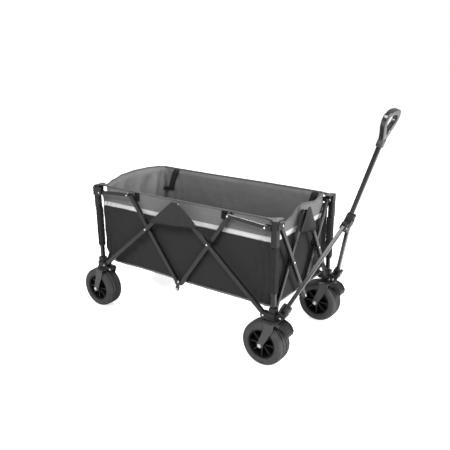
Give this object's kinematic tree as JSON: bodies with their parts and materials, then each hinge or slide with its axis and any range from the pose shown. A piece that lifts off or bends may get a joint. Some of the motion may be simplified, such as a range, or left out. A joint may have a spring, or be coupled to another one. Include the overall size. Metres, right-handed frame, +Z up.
{
  "type": "folding camp wagon",
  "caption": "Folding camp wagon: scissor-frame steel cart with corner posts, open cloth basket, wide wheels, braked swivelling front casters and a telescoping pull handle.",
  "frame": {"origin": "on the floor under the middle of the four corner posts, wagon open", "axes": "+X along the wagon towards the pulling handle, +Y across it to the far long side, +Z up"},
  "size_m": [1.3383, 0.548, 0.966],
  "materials": {
    "moulded_grey": "moulded dark grey nylon, fine texture",
    "post_steel": "powder-coated steel, satin",
    "painted_tube": "powder-coated steel, satin with bright edges",
    "painted_fork": "painted pressed steel",
    "zinc_bolt": "zinc-plated bolt",
    "rim_black": "black moulded rim",
    "tyre_rubber": "grey moulded tread",
    "black_plastic": "black moulded plastic",
    "grip_gloss": "dark glossy moulded grip",
    "basket_cloth": "woven polyester, coated"
  },
  "bodies": {
    "corner_near_rear": {"lower_bracket_near_rear": "moulded_grey", "post_near_rear": "post_steel", "fixed_fork_near_rear": "painted_fork", "axle_bolt_near_rear": "zinc_bolt", "basket": "basket_cloth"},
    "corner_near_front": {"lower_bracket_near_front": "moulded_grey", "post_near_front": "post_steel"},
    "corner_far_front": {"lower_bracket_far_front": "moulded_grey", "post_far_front": "post_steel"},
    "corner_far_rear": {"lower_bracket_far_rear": "moulded_grey", "post_far_rear": "post_steel", "fixed_fork_far_rear": "painted_fork", "axle_bolt_far_rear": "zinc_bolt"},
    "near_tube_1": {"near_long_tube_1": "painted_tube"},
    "near_tube_2": {"near_long_tube_2": "painted_tube"},
    "near_tube_3": {"near_long_tube_3": "painted_tube"},
    "near_tube_4": {"near_long_tube_4": "painted_tube"},
    "near_link_rear": {"top_link_near_rear": "painted_tube"},
    "near_link_front": {"top_link_near_front": "painted_tube"},
    "far_tube_1": {"far_long_tube_1": "painted_tube"},
    "far_tube_2": {"far_long_tube_2": "painted_tube"},
    "far_tube_3": {"far_long_tube_3": "painted_tube"},
    "far_tube_4": {"far_long_tube_4": "painted_tube"},
    "far_link_rear": {"top_link_far_rear": "painted_tube"},
    "far_link_front": {"top_link_far_front": "painted_tube"},
    "rear_end_1": {"rear_end_tube_1": "painted_tube"},
    "rear_end_2": {"rear_end_tube_2": "painted_tube"},
    "rear_end_3": {"rear_end_tube_3": "painted_tube"},
    "rear_end_4": {"rear_end_tube_4": "painted_tube"},
    "front_end_1": {"front_end_tube_1": "painted_tube"},
    "front_end_2": {"front_end_tube_2": "painted_tube"},
    "front_end_3": {"front_end_tube_3": "painted_tube"},
    "front_end_4": {"front_end_tube_4": "painted_tube"},
    "cap_near_rear": {"top_cap_near_rear": "moulded_grey"},
    "cap_near_front": {"top_cap_near_front": "moulded_grey"},
    "cap_far_front": {"top_cap_far_front": "moulded_grey"},
    "cap_far_rear": {"top_cap_far_rear": "moulded_grey"},
    "wheel_near_rear": {"rim_near_rear": "rim_black", "tyre_near_rear": "tyre_rubber"},
    "caster_near_front": {"swivel_fork_near_front": "painted_fork", "axle_bolt_near_front": "zinc_bolt"},
    "brake_near_front": {"brake_lever_near_front": "black_plastic"},
    "wheel_near_front": {"rim_near_front": "rim_black", "tyre_near_front": "tyre_rubber"},
    "caster_far_front": {"swivel_fork_far_front": "painted_fork", "axle_bolt_far_front": "zinc_bolt"},
    "brake_far_front": {"brake_lever_far_front": "black_plastic"},
    "wheel_far_front": {"rim_far_front": "rim_black", "tyre_far_front": "tyre_rubber"},
    "wheel_far_rear": {"rim_far_rear": "rim_black", "tyre_far_rear": "tyre_rubber"},
    "knuckle_near": {"handle_knuckle_near": "moulded_grey"},
    "leg_near": {"handle_leg_near": "painted_tube"},
    "knuckle_far": {"handle_knuckle_far": "moulded_grey"},
    "leg_far": {"handle_leg_far": "painted_tube"},
    "hub": {"handle_hub": "moulded_grey"},
    "pull_tube": {"handle_tube": "painted_tube", "handle_grip": "grip_gloss"},
    "lock_button": {"handle_lock_button": "black_plastic"}
  },
  "joints": [
    {"name": "fold", "type": "hinge", "parent": "corner_near_rear", "child": "near_tube_1", "pos_m": [-0.433, -0.224, 0.205], "axis": [0, -1, 0], "range_deg": [0, 43.08], "deforming": ["basket"]},
    {"name": "near_top_pivot", "type": "hinge", "parent": "near_tube_1", "child": "near_tube_4", "pos_m": [-0.006, -0.224, 0.54669], "axis": [0, -1, 0], "range_deg": [-86.18, 0]},
    {"name": "near_front_low_pivot", "type": "hinge", "parent": "near_tube_4", "child": "corner_near_front", "pos_m": [0.421, -0.224, 0.205], "axis": [0, -1, 0], "range_deg": [0, 43.1]},
    {"name": "near_rear_crossing", "type": "hinge", "parent": "near_tube_1", "child": "near_tube_2", "pos_m": [-0.169, -0.224, 0.42634], "axis": [0, -1, 0], "range_deg": [-73.91, 0]},
    {"name": "near_front_crossing", "type": "hinge", "parent": "near_tube_4", "child": "near_tube_3", "pos_m": [0.157, -0.224, 0.42634], "axis": [0, -1, 0], "range_deg": [0, 73.91]},
    {"name": "near_link_pivot_rear", "type": "hinge", "parent": "corner_near_rear", "child": "near_link_rear", "pos_m": [-0.433, -0.224, 0.54743], "axis": [0, -1, 0], "range_deg": [0, 76.7]},
    {"name": "near_link_pivot_front", "type": "hinge", "parent": "corner_near_front", "child": "near_link_front", "pos_m": [0.421, -0.224, 0.54743], "axis": [0, -1, 0], "range_deg": [-76.7, 0]},
    {"name": "far_rear_low_pivot", "type": "hinge", "parent": "corner_far_rear", "child": "far_tube_1", "pos_m": [-0.433, 0.224, 0.205], "axis": [0, -1, 0], "range_deg": [0, 43.1]},
    {"name": "far_front_low_pivot", "type": "hinge", "parent": "corner_far_front", "child": "far_tube_4", "pos_m": [0.421, 0.224, 0.205], "axis": [0, -1, 0], "range_deg": [-43.1, 0]},
    {"name": "far_rear_crossing", "type": "hinge", "parent": "far_tube_1", "child": "far_tube_2", "pos_m": [-0.169, 0.224, 0.42634], "axis": [0, -1, 0], "range_deg": [-73.91, 0]},
    {"name": "far_front_crossing", "type": "hinge", "parent": "far_tube_4", "child": "far_tube_3", "pos_m": [0.157, 0.224, 0.42634], "axis": [0, -1, 0], "range_deg": [0, 73.91]},
    {"name": "far_link_pivot_rear", "type": "hinge", "parent": "corner_far_rear", "child": "far_link_rear", "pos_m": [-0.433, 0.224, 0.54743], "axis": [0, -1, 0], "range_deg": [0, 76.7]},
    {"name": "far_link_pivot_front", "type": "hinge", "parent": "corner_far_front", "child": "far_link_front", "pos_m": [0.421, 0.224, 0.54743], "axis": [0, -1, 0], "range_deg": [-76.7, 0]},
    {"name": "rear_end_low_pivot", "type": "hinge", "parent": "corner_near_rear", "child": "rear_end_1", "pos_m": [-0.456, -0.204, 0.205], "axis": [1, 0, 0], "range_deg": [0, 24.31]},
    {"name": "rear_end_top_pivot", "type": "hinge", "parent": "rear_end_1", "child": "rear_end_4", "pos_m": [-0.456, 0, 0.555], "axis": [1, 0, 0], "range_deg": [-48.59, 0]},
    {"name": "rear_end_far_pivot", "type": "hinge", "parent": "rear_end_4", "child": "corner_far_rear", "pos_m": [-0.456, 0.204, 0.205], "axis": [1, 0, 0], "range_deg": [0, 24.31]},
    {"name": "rear_end_crossing_near", "type": "hinge", "parent": "rear_end_1", "child": "rear_end_2", "pos_m": [-0.456, -0.102, 0.38], "axis": [1, 0, 0], "range_deg": [-48.59, 0]},
    {"name": "rear_end_crossing_far", "type": "hinge", "parent": "rear_end_4", "child": "rear_end_3", "pos_m": [-0.456, 0.102, 0.38], "axis": [1, 0, 0], "range_deg": [0, 48.59]},
    {"name": "front_end_low_pivot", "type": "hinge", "parent": "corner_near_front", "child": "front_end_1", "pos_m": [0.456, -0.204, 0.205], "axis": [1, 0, 0], "range_deg": [0, 24.31]},
    {"name": "front_end_top_pivot", "type": "hinge", "parent": "front_end_1", "child": "front_end_4", "pos_m": [0.456, 0, 0.555], "axis": [1, 0, 0], "range_deg": [-48.59, 0]},
    {"name": "front_end_far_pivot", "type": "hinge", "parent": "front_end_4", "child": "corner_far_front", "pos_m": [0.456, 0.204, 0.205], "axis": [1, 0, 0], "range_deg": [0, 24.31]},
    {"name": "front_end_crossing_near", "type": "hinge", "parent": "front_end_1", "child": "front_end_2", "pos_m": [0.456, -0.102, 0.38], "axis": [1, 0, 0], "range_deg": [-48.59, 0]},
    {"name": "front_end_crossing_far", "type": "hinge", "parent": "front_end_4", "child": "front_end_3", "pos_m": [0.456, 0.102, 0.38], "axis": [1, 0, 0], "range_deg": [0, 48.59]},
    {"name": "cap_slide_near_rear", "type": "slide", "parent": "corner_near_rear", "child": "cap_near_rear", "axis": [0, 0, 1], "range_m": [0, 0.05313]},
    {"name": "cap_slide_near_front", "type": "slide", "parent": "corner_near_front", "child": "cap_near_front", "axis": [0, 0, 1], "range_m": [0, 0.05313]},
    {"name": "cap_slide_far_front", "type": "slide", "parent": "corner_far_front", "child": "cap_far_front", "axis": [0, 0, 1], "range_m": [0, 0.05313]},
    {"name": "cap_slide_far_rear", "type": "slide", "parent": "corner_far_rear", "child": "cap_far_rear", "axis": [0, 0, 1], "range_m": [0, 0.05313]},
    {"name": "wheel_spin_near_rear", "type": "hinge", "parent": "corner_near_rear", "child": "wheel_near_rear", "pos_m": [-0.47, -0.224, 0.09], "axis": [0, 1, 0], "continuous": true},
    {"name": "swivel_near_front", "type": "hinge", "parent": "corner_near_front", "child": "caster_near_front", "pos_m": [0.456, -0.224, 0.19], "axis": [0, 0, 1], "continuous": true},
    {"name": "brake_press_near_front", "type": "hinge", "parent": "caster_near_front", "child": "brake_near_front", "pos_m": [0.49, -0.224, 0.18], "axis": [0, 1, 0], "range_deg": [-6, 4]},
    {"name": "wheel_spin_near_front", "type": "hinge", "parent": "caster_near_front", "child": "wheel_near_front", "pos_m": [0.425, -0.224, 0.09], "axis": [0, 1, 0], "continuous": true},
    {"name": "swivel_far_front", "type": "hinge", "parent": "corner_far_front", "child": "caster_far_front", "pos_m": [0.456, 0.224, 0.19], "axis": [0, 0, 1], "continuous": true},
    {"name": "brake_press_far_front", "type": "hinge", "parent": "caster_far_front", "child": "brake_far_front", "pos_m": [0.49, 0.224, 0.18], "axis": [0, 1, 0], "range_deg": [-6, 4]},
    {"name": "wheel_spin_far_front", "type": "hinge", "parent": "caster_far_front", "child": "wheel_far_front", "pos_m": [0.425, 0.224, 0.09], "axis": [0, 1, 0], "continuous": true},
    {"name": "wheel_spin_far_rear", "type": "hinge", "parent": "corner_far_rear", "child": "wheel_far_rear", "pos_m": [-0.47, 0.224, 0.09], "axis": [0, 1, 0], "continuous": true},
    {"name": "handle_pitch", "type": "hinge", "parent": "corner_near_front", "child": "knuckle_near", "pos_m": [0.49, -0.22, 0.206], "axis": [0, 1, 0], "range_deg": [-16, 62]},
    {"name": "handle_pitch_far", "type": "hinge", "parent": "corner_far_front", "child": "knuckle_far", "pos_m": [0.49, 0.22, 0.206], "axis": [0, 1, 0], "range_deg": [-16.1, 62.1]},
    {"name": "leg_close_near", "type": "hinge", "parent": "knuckle_near", "child": "leg_near", "pos_m": [0.50307, -0.22, 0.23739], "axis": [0.9232, 0, -0.3843], "range_deg": [0, 26.45]},
    {"name": "leg_close_far", "type": "hinge", "parent": "knuckle_far", "child": "leg_far", "pos_m": [0.50307, 0.22, 0.23739], "axis": [0.9232, 0, -0.3843], "range_deg": [-26.45, 0]},
    {"name": "hub_pivot", "type": "hinge", "parent": "leg_near", "child": "hub", "pos_m": [0.62527, -0.024, 0.53097], "axis": [0.9232, 0, -0.3843], "range_deg": [-26.45, 0]},
    {"name": "handle_telescope", "type": "slide", "parent": "hub", "child": "pull_tube", "axis": [0.314, 0, 0.9494], "range_m": [-0.22, 0]},
    {"name": "lock_button_press", "type": "slide", "parent": "hub", "child": "lock_button", "axis": [0.9232, 0, -0.3843], "range_m": [-0.003, 0]}
  ],
  "couplings": [
    {"joint": "near_top_pivot", "follows": "fold", "ratio": -2},
    {"joint": "near_front_low_pivot", "follows": "fold", "ratio": 1},
    {"joint": "near_rear_crossing", "follows": "fold", "ratio": -1.7153},
    {"joint": "near_front_crossing", "follows": "fold", "ratio": 1.7153},
    {"joint": "near_link_pivot_rear", "follows": "fold", "ratio": 1.78},
    {"joint": "near_link_pivot_front", "follows": "fold", "ratio": -1.78},
    {"joint": "far_rear_low_pivot", "follows": "fold", "ratio": 1},
    {"joint": "far_front_low_pivot", "follows": "fold", "ratio": -1},
    {"joint": "far_rear_crossing", "follows": "fold", "ratio": -1.7153},
    {"joint": "far_front_crossing", "follows": "fold", "ratio": 1.7153},
    {"joint": "far_link_pivot_rear", "follows": "fold", "ratio": 1.78},
    {"joint": "far_link_pivot_front", "follows": "fold", "ratio": -1.78},
    {"joint": "rear_end_low_pivot", "follows": "fold", "ratio": 0.56372},
    {"joint": "rear_end_top_pivot", "follows": "fold", "ratio": -1.1274},
    {"joint": "rear_end_far_pivot", "follows": "fold", "ratio": 0.56372},
    {"joint": "rear_end_crossing_near", "follows": "fold", "ratio": -1.1274},
    {"joint": "rear_end_crossing_far", "follows": "fold", "ratio": 1.1274},
    {"joint": "front_end_low_pivot", "follows": "fold", "ratio": 0.56372},
    {"joint": "front_end_top_pivot", "follows": "fold", "ratio": -1.1274},
    {"joint": "front_end_far_pivot", "follows": "fold", "ratio": 0.56372},
    {"joint": "front_end_crossing_near", "follows": "fold", "ratio": -1.1274},
    {"joint": "front_end_crossing_far", "follows": "fold", "ratio": 1.1274},
    {"joint": "cap_slide_near_rear", "follows": "fold", "m_per_rad": 0.070395},
    {"joint": "cap_slide_near_front", "follows": "fold", "m_per_rad": 0.070395},
    {"joint": "cap_slide_far_front", "follows": "fold", "m_per_rad": 0.070395},
    {"joint": "cap_slide_far_rear", "follows": "fold", "m_per_rad": 0.070395},
    {"joint": "handle_pitch_far", "follows": "handle_pitch", "ratio": 1},
    {"joint": "leg_close_near", "follows": "fold", "ratio": 0.6134},
    {"joint": "leg_close_far", "follows": "fold", "ratio": -0.6134},
    {"joint": "hub_pivot", "follows": "fold", "ratio": -0.6134}
  ]
}
